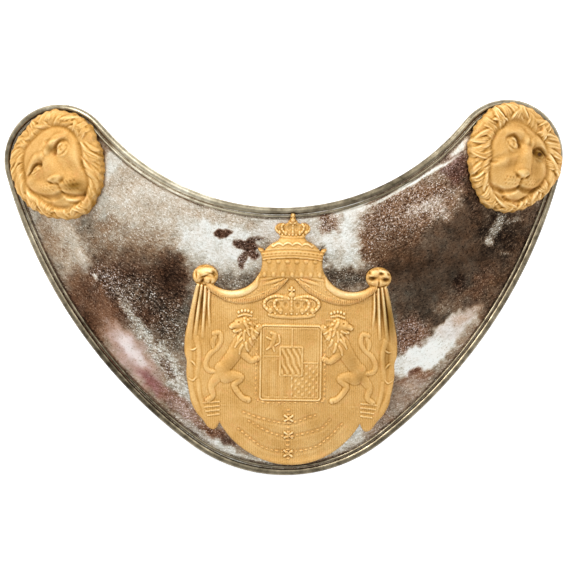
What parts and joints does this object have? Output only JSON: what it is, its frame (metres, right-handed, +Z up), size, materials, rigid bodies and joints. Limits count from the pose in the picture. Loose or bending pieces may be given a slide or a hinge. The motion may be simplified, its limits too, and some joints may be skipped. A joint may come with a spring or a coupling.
{
  "type": "officer's gorget",
  "caption": "Crescent-shaped officer's gorget of tarnished silvered sheet with a rolled rim, a gilt coat of arms under a pavilion and a gilt lion mask on each horn.",
  "frame": {"origin": "middle of the footprint, at the level of the surface that the gorget lies on", "axes": "+X from the left horn to the right horn as seen from the front, +Y from the foot to the horns, +Z up out of the convex face"},
  "size_m": [0.1502, 0.1002, 0.0245],
  "materials": {
    "silvered_sheet": "silvered, worn and tarnished brown and purple",
    "gilt": "matt fire gilding with burnished edges",
    "back_brass": "plain, dulled"
  },
  "bodies": {
    "root": {"plate": "silvered_sheet", "coat_of_arms": "gilt", "lion_mask_left": "gilt", "lion_mask_right": "gilt", "collar_hook_left": "back_brass", "collar_hook_right": "back_brass", "arms_pin_upper": "back_brass", "arms_pin_lower": "back_brass"}
  },
  "joints": []
}
